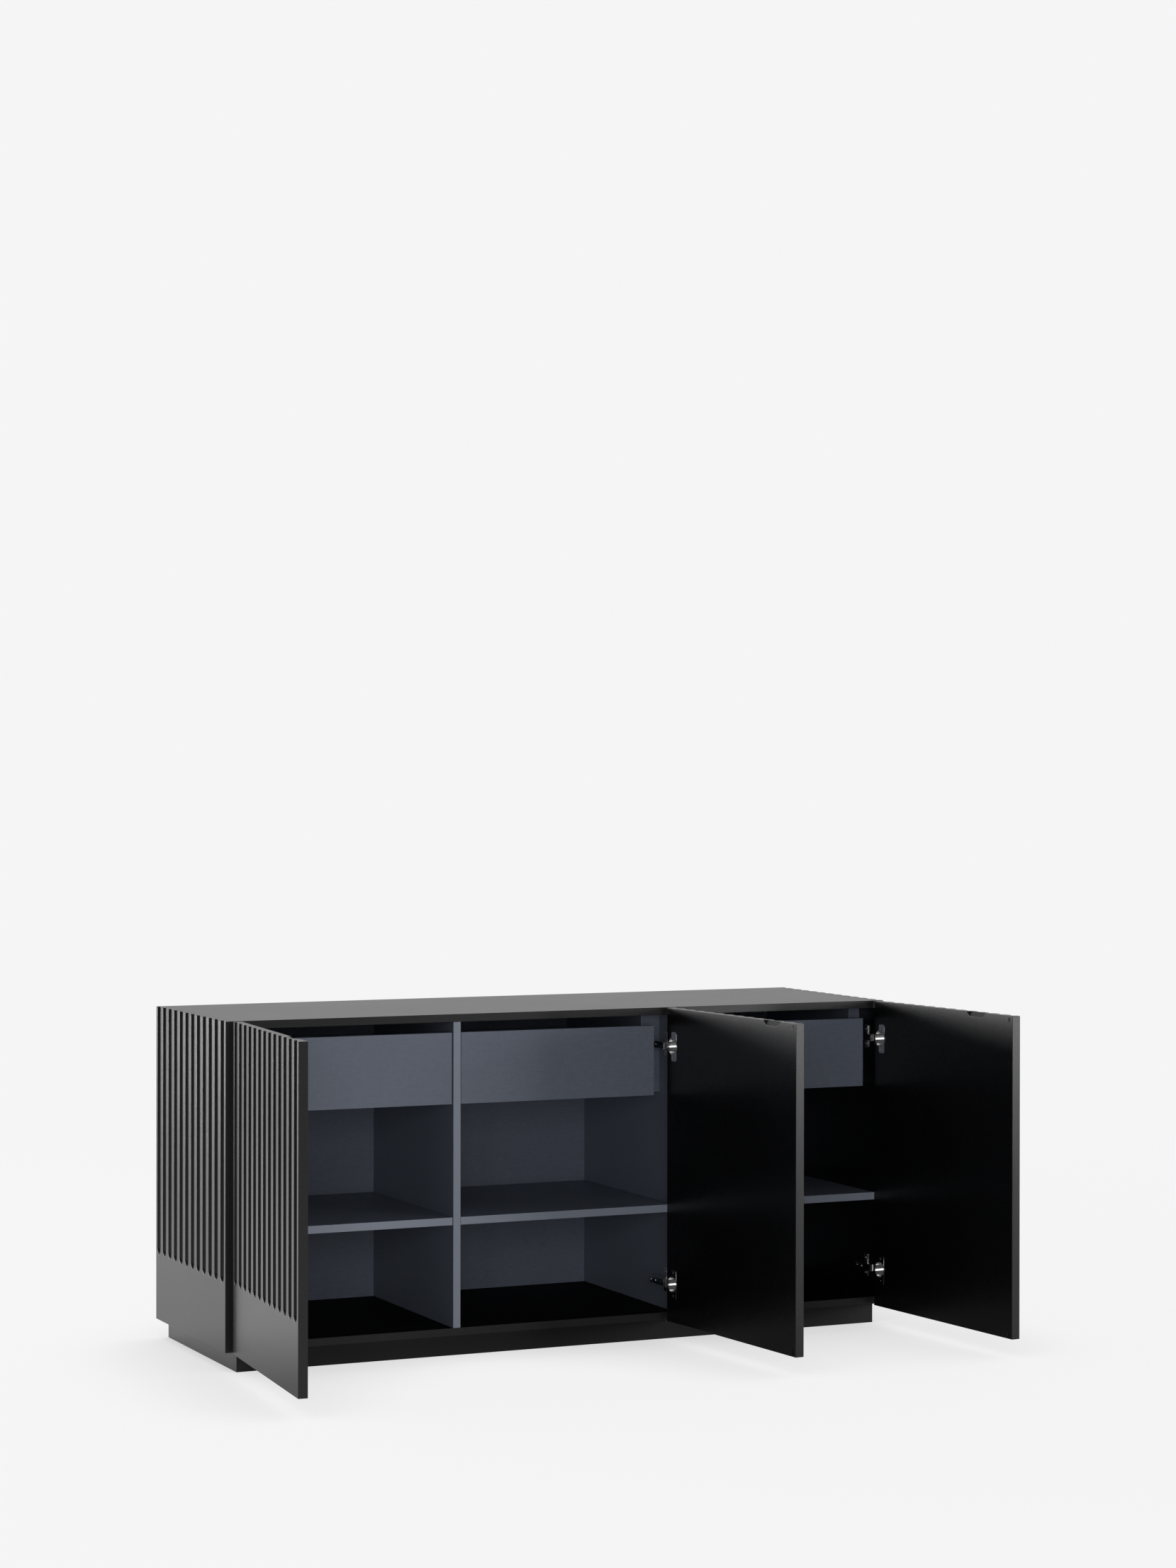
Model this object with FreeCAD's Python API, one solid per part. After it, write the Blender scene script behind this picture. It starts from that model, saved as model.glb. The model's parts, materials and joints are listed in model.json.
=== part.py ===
import FreeCAD
import Part
import math
import os

# Sideboard buffet: a plinth, a carcass of three bays, three fluted doors, three inner drawers
# and three shelves.  Millimetres.  +X to the right, +Y to the back, +Z up.
# Origin: on the floor, in the middle of the carcass footprint, under the plinth's middle rail.
# At rest the doors stand open and the drawers are pushed in.

# ---- driving dimensions ---------------------------------------------------------------------
WIDTH = 1500.0                # over the side panels
DEPTH = 458.0                 # side panels, front edge to back edge
HEIGHT = 700.0                # floor to top surface
PLINTH_HEIGHT = 40.0
SIDE_THICKNESS = 19.0         # fluted side panels
BOARD = 16.0                  # top, bottom, partitions, shelves, plinth, drawer fronts
BACK_THICKNESS = 3.0
BACK_REBATE = 8.0             # how far the back panel's rebate reaches into each board
PLINTH_SIDE_INSET = 24.0
PLINTH_FRONT_INSET = 2.0
PLINTH_BACK_INSET = 10.0

DOOR_THICKNESS = 19.0
DOOR_REVEAL = 3.0             # gap between two closed doors
DOOR_GAP = 2.0                # closed door's inner face to the carcass front
DOOR_AXIS_IN = 8.0            # turning axis: from the door's hinge edge
DOOR_AXIS_FORWARD = 22.0      # turning axis: in front of the carcass
DOOR_OPEN_ANGLE = 94.7        # where the hinges stop
NOTCH_FROM_FREE_EDGE = {"left": 90.0, "middle": 90.0, "right": 127.0}
NOTCH_TOP_WIDTH = 66.0        # finger notch at the door's top edge
NOTCH_BACK_WIDTH = 48.0       # at its deepest line
NOTCH_LOW_WIDTH = 42.0        # at its lower edge
NOTCH_HEIGHT = 10.0
NOTCH_DEPTH = 9.0
BUMPER_RADIUS = 4.0
BUMPER_THICKNESS = 1.4
BUMPER_FROM_FREE_EDGE = 14.0
BUMPER_FROM_ENDS = 8.0

FLUTE_PITCH = 38.0
FLUTE_WIDTH = 22.0
FLUTE_DEPTH = 7.0
FLUTE_END_HEIGHT = 139.0      # lowest point of a flute, above the panel's lower edge
SIDE_FLUTES = 12
DOOR_FLUTES = 13

SHELF_TOP = 283.0             # above the floor
SHELF_FRONT_SETBACK = 1.5
SHELF_BACK_CLEARANCE = 5.0
SHELF_SIDE_CLEARANCE = 1.0

DRAWER_SPACE = 444.0          # clear width between a wall and a packer
DRAWER_SIDE_GAP = 2.0         # each side of the drawer front
DRAWER_FRONT_SETBACK = 3.0    # closed front's face behind the carcass front
DRAWER_FRONT_BOTTOM = 515.0
DRAWER_FRONT_HEIGHT = 147.0
DRAWER_SIDE_TOP = 630.0
DRAWER_SIDE_HEIGHT = 90.0
DRAWER_SIDE_THICKNESS = 12.0
DRAWER_BOX_LENGTH = 400.0
DRAWER_BOTTOM_THICKNESS = 3.0
DRAWER_BOTTOM_RISE = 8.0      # drawer bottom above the sides' lower edges
DRAWER_GROOVE = 5.0
RUNNER_SPACE = 12.5           # wall to drawer side
PACKER_FRONT_SETBACK = 71.0

HINGE_HEIGHTS = (120.0, 620.0)
CUP_CENTRE_IN = 21.5          # cup centre from the door's hinge edge
CUP_RADIUS = 17.5
CUP_RIM = 1.0                 # how far the cup's lip spreads over its bore
CUP_DEPTH = 11.5
CUP_WALL = 1.0
FLANGE_THICKNESS = 0.8
FLANGE_WIDTH = 20.0
FLANGE_LENGTH = 62.0
FLANGE_CORNER = 5.0
CUP_SCREW_SPACING = 48.0
CUP_SCREW_OFFSET = 6.0        # screw line from the cup centre, away from the hinge edge
CUP_SCREW_RADIUS = 1.8
CUP_SCREW_HEAD_RADIUS = 3.4
CUP_SCREW_HEAD_HEIGHT = 1.6
CUP_SCREW_LENGTH = 11.0
PLATE_SETBACK = 37.0          # plate screws behind the carcass front
PLATE_SCREW_SPACING = 32.0
PLATE_SCREW_RADIUS = 2.2
PLATE_SCREW_HEAD_RADIUS = 3.6
PLATE_SCREW_HEAD_HEIGHT = 2.0
PLATE_SCREW_LENGTH = 12.0

# ---- derived places -------------------------------------------------------------------------
FRONT = -DEPTH / 2
BACK = DEPTH / 2
LEFT = -WIDTH / 2
RIGHT = WIDTH / 2
CARCASS_BOTTOM = PLINTH_HEIGHT
CARCASS_HEIGHT = HEIGHT - PLINTH_HEIGHT
INNER_BACK = BACK - BACK_THICKNESS
UNDER_TOP = HEIGHT - BOARD
ON_BOTTOM = CARCASS_BOTTOM + BOARD
DOOR_PITCH = WIDTH / 3
DOOR_WIDTH = DOOR_PITCH - DOOR_REVEAL
BAY_NAMES = ("left", "middle", "right")
LENGTH_TOLERANCE = 0.01


def box(x0, y0, z0, x1, y1, z1):
    return Part.makeBox(x1 - x0, y1 - y0, z1 - z0, FreeCAD.Vector(x0, y0, z0))


def cylinder(radius, length, start, direction):
    return Part.makeCylinder(radius, length, FreeCAD.Vector(*start), FreeCAD.Vector(*direction))


def ring(outer, inner, length, start, direction):
    return cylinder(outer, length, start, direction).cut(cylinder(inner, length, start, direction))


def prism(points, direction):
    """A closed outline of points, extruded along a vector."""
    corners = [FreeCAD.Vector(*p) for p in points]
    face = Part.Face(Part.makePolygon(corners + corners[:1]))
    return face.extrude(FreeCAD.Vector(*direction))


def group(solids):
    return Part.makeCompound(solids)


def edges_of_length(shape, length):
    return [edge for edge in shape.Edges if abs(edge.Length - length) < LENGTH_TOLERANCE]


def solids_of(shapes):
    return [solid for shape in shapes for solid in shape.Solids]


def cut_all(shape, cutters):
    result = shape.cut(group(cutters))
    return result.Solids[0]


def bay_walls(name):
    """Inner faces of a bay's two walls, left then right."""
    first = LEFT + SIDE_THICKNESS if name == "left" else partition_centre(name, -1) + BOARD / 2
    last = RIGHT - SIDE_THICKNESS if name == "right" else partition_centre(name, 1) - BOARD / 2
    return first, last


# Each partition stands 2 mm outside its door seam, so that the middle bay is a little wider.
PARTITION_OUTSET = 2.0
PARTITION_CENTRES = (-DOOR_PITCH / 2 - PARTITION_OUTSET, DOOR_PITCH / 2 + PARTITION_OUTSET)


def partition_centre(name, side):
    index = BAY_NAMES.index(name)
    return PARTITION_CENTRES[index if side > 0 else index - 1]


# ---- flutes ---------------------------------------------------------------------------------
FLUTE_RADIUS = (FLUTE_WIDTH ** 2 / 4 + FLUTE_DEPTH ** 2) / (2 * FLUTE_DEPTH)
FLUTE_AXIS_OUT = FLUTE_RADIUS - FLUTE_DEPTH
FLUTE_BALL_HEIGHT = CARCASS_BOTTOM + FLUTE_END_HEIGHT + FLUTE_WIDTH / 2
CUTTER_OVERRUN = 5.0


def flute_places(length, count):
    """Flute centres along an edge, symmetric about its middle."""
    first = (length - (count - 1) * FLUTE_PITCH) / 2
    return [first + i * FLUTE_PITCH for i in range(count)]


def flute_cutter(x, y):
    """A round-bottomed groove with a ball end, running out through the top edge."""
    length = HEIGHT - FLUTE_BALL_HEIGHT + CUTTER_OVERRUN
    shaft = cylinder(FLUTE_RADIUS, length, (x, y, FLUTE_BALL_HEIGHT), (0, 0, 1))
    ball = Part.makeSphere(FLUTE_RADIUS, FreeCAD.Vector(x, y, FLUTE_BALL_HEIGHT))
    return shaft.fuse(ball)


# ---- frame of a door: u inward from its hinge edge, v behind the carcass front ----------------
def hinge_on_left(name):
    return name == "left"


def hinge_edge(name):
    """X of the closed door's hinge edge."""
    index = BAY_NAMES.index(name)
    left_edge = LEFT + index * DOOR_PITCH + DOOR_REVEAL / 2
    return left_edge if hinge_on_left(name) else left_edge + DOOR_WIDTH


def to_door_side(shape, name):
    """Carry a shape drawn for a left-hinged door at the origin to the named door's hinge edge."""
    placed = shape.copy()
    if not hinge_on_left(name):
        placed = placed.mirror(FreeCAD.Vector(0, 0, 0), FreeCAD.Vector(1, 0, 0))
    placed.translate(FreeCAD.Vector(hinge_edge(name), FRONT, 0))
    return placed


def opened(shape, name):
    """Turn a closed door's piece about the door axis to its rest angle."""
    sign = 1 if hinge_on_left(name) else -1
    axis = FreeCAD.Vector(hinge_edge(name) + sign * DOOR_AXIS_IN, FRONT - DOOR_AXIS_FORWARD, 0)
    turned = shape.copy()
    turned.rotate(axis, FreeCAD.Vector(0, 0, 1), -sign * DOOR_OPEN_ANGLE)
    return turned


def hinge_wall(name):
    """The mounting wall's face, measured inward from the door's hinge edge."""
    first, last = bay_walls(name)
    return first - hinge_edge(name) if hinge_on_left(name) else hinge_edge(name) - last


# ---- doors ----------------------------------------------------------------------------------
def finger_notch(centre_u):
    """A wedge cut from the inner top edge, with slanted ends."""
    def line(width, forward, down):
        ends = (centre_u - width / 2, centre_u + width / 2)
        return [FreeCAD.Vector(u, -DOOR_GAP - forward, HEIGHT - down) for u in ends]

    top_left, top_right = line(NOTCH_TOP_WIDTH, 0, 0)
    low_left, low_right = line(NOTCH_LOW_WIDTH, 0, NOTCH_HEIGHT)
    deep_left, deep_right = line(NOTCH_BACK_WIDTH, NOTCH_DEPTH, 0)
    outlines = (
        [top_left, top_right, low_right, low_left],
        [top_left, deep_left, deep_right, top_right],
        [low_left, low_right, deep_right, deep_left],
        [top_left, low_left, deep_left],
        [top_right, deep_right, low_right],
    )
    faces = [Part.Face(Part.makePolygon(outline + outline[:1])) for outline in outlines]
    wedge = Part.makeSolid(Part.makeShell(faces))
    if wedge.Volume < 0:
        wedge.reverse()
    return wedge


def door_panel(name):
    outer = -DOOR_GAP - DOOR_THICKNESS
    panel = box(0, outer, CARCASS_BOTTOM, DOOR_WIDTH, -DOOR_GAP, HEIGHT)
    cutters = [flute_cutter(u, outer - FLUTE_AXIS_OUT) for u in flute_places(DOOR_WIDTH, DOOR_FLUTES)]
    for height in HINGE_HEIGHTS:
        cutters.append(cylinder(CUP_RADIUS, CUP_DEPTH, (CUP_CENTRE_IN, -DOOR_GAP, height), (0, -1, 0)))
        cutters.extend(cup_screws(height))
    cutters.append(finger_notch(DOOR_WIDTH - NOTCH_FROM_FREE_EDGE[name]))
    return cut_all(panel, cutters)


def hinge_cup(height):
    """A pressed steel dish with its winged flange lying on the door's inner face."""
    centre = (CUP_CENTRE_IN, -DOOR_GAP, height)
    outer_face = -DOOR_GAP + FLANGE_THICKNESS
    screw_line = CUP_CENTRE_IN + CUP_SCREW_OFFSET
    dish = cylinder(CUP_RADIUS, CUP_DEPTH, centre, (0, -1, 0))
    lip = cylinder(CUP_RADIUS + CUP_RIM, FLANGE_THICKNESS, centre, (0, 1, 0))
    flange = box(screw_line - FLANGE_WIDTH / 2, -DOOR_GAP, height - FLANGE_LENGTH / 2,
                 screw_line + FLANGE_WIDTH / 2, outer_face, height + FLANGE_LENGTH / 2)
    flange = flange.makeFillet(FLANGE_CORNER, edges_of_length(flange, FLANGE_THICKNESS))
    hollow = cylinder(CUP_RADIUS - CUP_WALL, CUP_DEPTH - CUP_WALL + FLANGE_THICKNESS,
                      (CUP_CENTRE_IN, outer_face, height), (0, -1, 0))
    return dish.fuse(lip).fuse(flange).cut(hollow).cut(group(cup_screws(height))).Solids[0]


def cup_screws(height):
    """Countersunk screws through the flange's two wings."""
    screws = []
    for side in (-1, 1):
        start = (CUP_CENTRE_IN + CUP_SCREW_OFFSET, -DOOR_GAP + FLANGE_THICKNESS,
                 height + side * CUP_SCREW_SPACING / 2)
        head = Part.makeCone(CUP_SCREW_HEAD_RADIUS, CUP_SCREW_RADIUS, CUP_SCREW_HEAD_HEIGHT,
                             FreeCAD.Vector(*start), FreeCAD.Vector(0, -1, 0))
        screws.append(head.fuse(cylinder(CUP_SCREW_RADIUS, CUP_SCREW_LENGTH, start, (0, -1, 0))))
    return screws


def door_bumpers():
    """Clear buttons on the inner face, near the free edge."""
    u = DOOR_WIDTH - BUMPER_FROM_FREE_EDGE
    heights = (CARCASS_BOTTOM + BUMPER_FROM_ENDS, HEIGHT - BUMPER_FROM_ENDS)
    return [cylinder(BUMPER_RADIUS, BUMPER_THICKNESS, (u, -DOOR_GAP, z), (0, 1, 0)) for z in heights]


def door_nodes(name):
    cups = group([hinge_cup(height) for height in HINGE_HEIGHTS])
    screws = group([screw for height in HINGE_HEIGHTS for screw in cup_screws(height)])
    pieces = {
        "door_panel": door_panel(name),
        "door_hinge_cups": cups,
        "door_hinge_cup_screws": screws,
        "door_bumpers": group(door_bumpers()),
    }
    return {f"{name}_{key}": opened(to_door_side(shape, name), name) for key, shape in pieces.items()}


# ---- cabinet side of the hinges -------------------------------------------------------------
ARM_OUTER, ARM_INNER = 22.0, 33.0          # arm's two faces, inward from the door's hinge edge
ARM_HALF_HEIGHT = 7.0
ARM_START, ARM_END = 6.0, 62.0             # straight part of the arm, behind the carcass front
ARM_END_RADIUS = 5.0
ARM_NOSE = ((ARM_OUTER, 0.0), (22.5, -3.5), (26.0, -7.0), (30.0, -9.5), (34.0, -9.5), (33.5, -2.0),
            (ARM_INNER, ARM_START), (ARM_OUTER, ARM_START))
ARM_WELL_RADIUS, ARM_WELL_DEPTH = 2.6, 2.5
ARM_WELL_SETBACKS = (30.0, 50.0)           # the two adjusting screws' wells
PLATE_BASE = 2.0
PLATE_CORNER = 4.0
PLATE_HALF_LENGTH = 26.0
PLATE_HALF_WING = 7.0
PLATE_SPINE_HALF_HEIGHT = 6.0
PLATE_SPINE_START, PLATE_SPINE_END = 14.0, 64.0
PLATE_SCREW_SEAT = 0.6                     # how deep the screw head sits in the plate


def mounting_plate(wall, height):
    """Winged base on the wall, with a raised spine that reaches up to the arm."""
    wings = box(wall, PLATE_SETBACK - PLATE_HALF_WING, height - PLATE_HALF_LENGTH,
                wall + PLATE_BASE, PLATE_SETBACK + PLATE_HALF_WING, height + PLATE_HALF_LENGTH)
    wings = wings.makeFillet(PLATE_CORNER, edges_of_length(wings, PLATE_BASE))
    spine = box(wall, PLATE_SPINE_START, height - PLATE_SPINE_HALF_HEIGHT,
                ARM_OUTER, PLATE_SPINE_END, height + PLATE_SPINE_HALF_HEIGHT)
    return wings.fuse(spine).removeSplitter().cut(group(plate_screws(wall, height))).Solids[0]


def plate_screws(wall, height):
    screws = []
    for side in (-1, 1):
        start = (wall + PLATE_BASE - PLATE_SCREW_SEAT, PLATE_SETBACK, height + side * PLATE_SCREW_SPACING / 2)
        head = cylinder(PLATE_SCREW_HEAD_RADIUS, PLATE_SCREW_HEAD_HEIGHT, start, (1, 0, 0))
        shank = cylinder(PLATE_SCREW_RADIUS, PLATE_SCREW_LENGTH, start, (-1, 0, 0))
        screws.append(head.fuse(shank))
    return screws


def hinge_arm(height):
    """The long arm, with a nose that dips into the cup when the door is shut."""
    low, high = height - ARM_HALF_HEIGHT, height + ARM_HALF_HEIGHT
    nose = prism([(u, v, low) for u, v in ARM_NOSE], (0, 0, high - low))
    beam = box(ARM_OUTER, ARM_START, low, ARM_INNER, ARM_END, high)
    uprights = edges_of_length(beam, high - low)
    inner_end = max(uprights, key=lambda edge: edge.BoundBox.XMin + edge.BoundBox.YMin)
    beam = beam.makeFillet(ARM_END_RADIUS, [inner_end])
    arm = nose.fuse(beam).removeSplitter()
    wells = [cylinder(ARM_WELL_RADIUS, ARM_WELL_DEPTH, (ARM_INNER, setback, height), (-1, 0, 0))
             for setback in ARM_WELL_SETBACKS]
    return arm.cut(group(wells)).Solids[0]


def cabinet_hinges():
    plates, arms, screws = [], [], []
    for name in BAY_NAMES:
        wall = hinge_wall(name)
        for height in HINGE_HEIGHTS:
            plates.append(to_door_side(mounting_plate(wall, height), name))
            arms.append(to_door_side(hinge_arm(height), name))
            screws.extend(to_door_side(screw, name) for screw in plate_screws(wall, height))
    return {
        "hinge_mounting_plates": group(plates),
        "hinge_arms": group(arms),
        "hinge_plate_screws": group(screws),
    }


# ---- drawers --------------------------------------------------------------------------------
def drawer_space(name):
    """Clear space for the drawer: between the plain wall and the packer on the hinge side."""
    first, last = bay_walls(name)
    return (last - DRAWER_SPACE, last) if hinge_on_left(name) else (first, first + DRAWER_SPACE)


RUNNER_GAUGE = 1.2
RUNNER_LENGTH = 400.0
CABINET_RUNNER_SETBACK = 22.0
RUNNER_DROP = 16.2                          # runner datum below the drawer side's lower edge
CHANNEL_LOW, CHANNEL_HIGH = -4.0, 14.0      # from the datum
CHANNEL_DEPTH = 7.0
FRONT_AXLE_IN, FRONT_AXLE_RISE = 9.0, 7.2   # cabinet roller, from the channel's front end and the datum
FRONT_AXLE_LENGTH = 11.0
FRONT_ROLLER_OUT, FRONT_ROLLER_WIDTH = 7.8, 3.0
FRONT_ROLLER_RADIUS = 7.5
ANGLE_RISE, ANGLE_HEIGHT = 15.0, 14.0       # drawer runner's flange above the datum, and its web
ANGLE_OUT, ANGLE_UNDER = 3.0, 10.0          # flange: gap to the wall, reach under the drawer side
TAB_OUT, TAB_RISE = 7.6, 1.0
TAB_BACK_GAP, TAB_LENGTH = 4.0, 16.0
REAR_AXLE_IN, REAR_AXLE_RISE = 12.0, 5.0    # drawer roller, from the box's back end and the datum
REAR_AXLE_START, REAR_AXLE_LENGTH = 8.0, 6.6
REAR_ROLLER_OUT, REAR_ROLLER_WIDTH = 2.0, 4.5
REAR_ROLLER_RADIUS = 7.3
ROLLER_AXLE_RADIUS = 2.0
ROLLER_BORE_RADIUS = 2.1
DRAWER_SIDE_BOTTOM = DRAWER_SIDE_TOP - DRAWER_SIDE_HEIGHT
RUNNER_DATUM = DRAWER_SIDE_BOTTOM - RUNNER_DROP
BOX_FRONT = FRONT + DRAWER_FRONT_SETBACK + BOARD
BOX_BACK = BOX_FRONT + DRAWER_BOX_LENGTH


def at_wall(shape, wall, side):
    """Carry a runner piece drawn for a left wall at x = 0 to a wall face."""
    placed = shape.copy()
    if side < 0:
        placed = placed.mirror(FreeCAD.Vector(0, 0, 0), FreeCAD.Vector(1, 0, 0))
    placed.translate(FreeCAD.Vector(wall, 0, 0))
    return placed


def cabinet_runner():
    """A channel with its open side to the drawer and an axle for its front roller."""
    start = FRONT + CABINET_RUNNER_SETBACK
    end = start + RUNNER_LENGTH
    low, high = RUNNER_DATUM + CHANNEL_LOW, RUNNER_DATUM + CHANNEL_HIGH
    web = box(0, start, low, RUNNER_GAUGE, end, high)
    lower_lip = box(0, start, low, CHANNEL_DEPTH, end, low + RUNNER_GAUGE)
    upper_lip = box(0, start, high - RUNNER_GAUGE, CHANNEL_DEPTH, end, high)
    axle_start = (0, start + FRONT_AXLE_IN, RUNNER_DATUM + FRONT_AXLE_RISE)
    axle = cylinder(ROLLER_AXLE_RADIUS, FRONT_AXLE_LENGTH, axle_start, (1, 0, 0))
    return web.fuse([lower_lip, upper_lip, axle]).removeSplitter()


def cabinet_roller():
    y = FRONT + CABINET_RUNNER_SETBACK + FRONT_AXLE_IN
    start = (FRONT_ROLLER_OUT, y, RUNNER_DATUM + FRONT_AXLE_RISE)
    return ring(FRONT_ROLLER_RADIUS, ROLLER_BORE_RADIUS, FRONT_ROLLER_WIDTH, start, (1, 0, 0))


def drawer_runner():
    """An angle under the drawer side, with a tab and an axle for its rear roller."""
    low = RUNNER_DATUM + ANGLE_RISE
    flange = box(ANGLE_OUT, BOX_FRONT, low, RUNNER_SPACE + ANGLE_UNDER, BOX_BACK, low + RUNNER_GAUGE)
    web = box(RUNNER_SPACE - RUNNER_GAUGE, BOX_FRONT, low, RUNNER_SPACE, BOX_BACK, low + ANGLE_HEIGHT)
    tab_end = BOX_BACK - TAB_BACK_GAP
    tab = box(TAB_OUT, tab_end - TAB_LENGTH, RUNNER_DATUM + TAB_RISE, TAB_OUT + RUNNER_GAUGE, tab_end, low)
    y, z = BOX_BACK - REAR_AXLE_IN, RUNNER_DATUM + REAR_AXLE_RISE
    axle = cylinder(ROLLER_AXLE_RADIUS, REAR_AXLE_LENGTH, (REAR_AXLE_START, y, z), (-1, 0, 0))
    roller_start = (REAR_ROLLER_OUT, y, z)
    roller = ring(REAR_ROLLER_RADIUS, ROLLER_BORE_RADIUS, REAR_ROLLER_WIDTH, roller_start, (1, 0, 0))
    return [flange.fuse([web, tab, axle]).removeSplitter(), roller]


def runner_nodes():
    channels, rollers = [], []
    for name in BAY_NAMES:
        first, last = drawer_space(name)
        for wall, side in ((first, 1), (last, -1)):
            channels.append(at_wall(cabinet_runner(), wall, side))
            rollers.append(at_wall(cabinet_roller(), wall, side))
    return {
        "cabinet_runners": group(solids_of(channels)),
        "cabinet_runner_rollers": group(solids_of(rollers)),
    }


def drawer_nodes(name):
    first, last = drawer_space(name)
    left_outer, right_outer = first + RUNNER_SPACE, last - RUNNER_SPACE
    left_inner, right_inner = left_outer + DRAWER_SIDE_THICKNESS, right_outer - DRAWER_SIDE_THICKNESS
    low, high = DRAWER_SIDE_BOTTOM, DRAWER_SIDE_TOP
    base = low + DRAWER_BOTTOM_RISE
    back_inner = BOX_BACK - DRAWER_SIDE_THICKNESS
    front = box(first + DRAWER_SIDE_GAP, FRONT + DRAWER_FRONT_SETBACK, DRAWER_FRONT_BOTTOM,
                last - DRAWER_SIDE_GAP, BOX_FRONT, DRAWER_FRONT_BOTTOM + DRAWER_FRONT_HEIGHT)
    bottom = box(left_inner - DRAWER_GROOVE, BOX_FRONT - DRAWER_GROOVE, base,
                 right_inner + DRAWER_GROOVE, back_inner + DRAWER_GROOVE, base + DRAWER_BOTTOM_THICKNESS)
    left_side = box(left_outer, BOX_FRONT, low, left_inner, BOX_BACK, high)
    right_side = box(right_inner, BOX_FRONT, low, right_outer, BOX_BACK, high)
    back = box(left_inner, back_inner, low, right_inner, BOX_BACK, high)
    runners = []
    for wall, side in ((first, 1), (last, -1)):
        runners.extend(at_wall(piece, wall, side) for piece in drawer_runner())
    return {
        f"{name}_drawer_front": front.cut(bottom),
        f"{name}_drawer_left_side": left_side.cut(bottom),
        f"{name}_drawer_right_side": right_side.cut(bottom),
        f"{name}_drawer_back": back.cut(bottom),
        f"{name}_drawer_bottom": bottom,
        f"{name}_drawer_runners": group(solids_of(runners)),
    }


def packer(name):
    """Fills the hinge side of the drawer zone, so that the drawer clears the hinges."""
    first, last = bay_walls(name)
    space_first, space_last = drawer_space(name)
    x0, x1 = (first, space_first) if hinge_on_left(name) else (space_last, last)
    return box(x0, FRONT + PACKER_FRONT_SETBACK, DRAWER_FRONT_BOTTOM, x1, INNER_BACK, UNDER_TOP)


# ---- shelves --------------------------------------------------------------------------------
PIN_RADIUS = 2.5
PIN_IN_WALL = 7.0
PIN_OUT = 9.0
PIN_SETBACK = 40.0


def shelf(name):
    first, last = bay_walls(name)
    return box(first + SHELF_SIDE_CLEARANCE, FRONT + SHELF_FRONT_SETBACK, SHELF_TOP - BOARD,
               last - SHELF_SIDE_CLEARANCE, INNER_BACK - SHELF_BACK_CLEARANCE, SHELF_TOP)


def shelf_pins():
    pins = []
    z = SHELF_TOP - BOARD - PIN_RADIUS
    for name in BAY_NAMES:
        first, last = bay_walls(name)
        for y in (FRONT + PIN_SETBACK, INNER_BACK - PIN_SETBACK):
            pins.append(cylinder(PIN_RADIUS, PIN_IN_WALL + PIN_OUT, (first - PIN_IN_WALL, y, z), (1, 0, 0)))
            pins.append(cylinder(PIN_RADIUS, PIN_IN_WALL + PIN_OUT, (last + PIN_IN_WALL, y, z), (-1, 0, 0)))
    return pins


# ---- joinery --------------------------------------------------------------------------------
CAM_RADIUS, CAM_HEIGHT = 7.5, 12.5
CAM_IN_FROM_END = 34.0
BOLT_RADIUS = 3.0
BOLT_IN_SIDE = 10.0                        # bolt's depth in the side panel
BOLT_IN_BOARD = 31.0                       # bolt's reach into the board, ending inside its cam
CAM_SETBACKS = (64.0, 394.0)
DOWEL_RADIUS, DOWEL_LENGTH = 4.0, 24.0
DOWEL_SETBACKS = (32.0, 229.0, 426.0)
BACK_SCREW_RADIUS, BACK_SCREW_LENGTH = 1.5, 15.0
BACK_SCREW_HEAD_RADIUS, BACK_SCREW_HEAD_HEIGHT = 3.5, 1.8
BACK_SCREW_EDGE = 4.0                       # from a board's edge that the back panel overlaps
BACK_SCREW_END_INSET = 60.0
BACK_SCREWS_IN_ROW = 8
BACK_SCREW_LEVELS = (0.25, 0.5, 0.75)       # of the carcass height


def end_joints():
    """Cam locks, their bolts and dowels where the top and bottom boards meet the side panels."""
    cams, bolts, dowels = [], [], []
    mid_heights = (CARCASS_BOTTOM + BOARD / 2, HEIGHT - BOARD / 2)
    for inner, side in ((LEFT + SIDE_THICKNESS, 1), (RIGHT - SIDE_THICKNESS, -1)):
        for z, up in ((mid_heights[0], 1), (mid_heights[1], -1)):
            for setback in CAM_SETBACKS:
                x, y = inner + side * CAM_IN_FROM_END, FRONT + setback
                bolts.append(cylinder(BOLT_RADIUS, BOLT_IN_SIDE + BOLT_IN_BOARD,
                                      (inner - side * BOLT_IN_SIDE, y, z), (side, 0, 0)))
                cams.append(cylinder(CAM_RADIUS, CAM_HEIGHT, (x, y, z + up * BOARD / 2), (0, 0, -up)))
            for setback in DOWEL_SETBACKS:
                start = inner - side * DOWEL_LENGTH / 2
                dowels.append(cylinder(DOWEL_RADIUS, DOWEL_LENGTH, (start, FRONT + setback, z), (side, 0, 0)))
    return cams, bolts, dowels


def partition_dowels():
    dowels = []
    for x in PARTITION_CENTRES:
        for z in (ON_BOTTOM, UNDER_TOP):
            for setback in DOWEL_SETBACKS:
                start = z - DOWEL_LENGTH / 2
                dowels.append(cylinder(DOWEL_RADIUS, DOWEL_LENGTH, (x, FRONT + setback, start), (0, 0, 1)))
    return dowels


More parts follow.
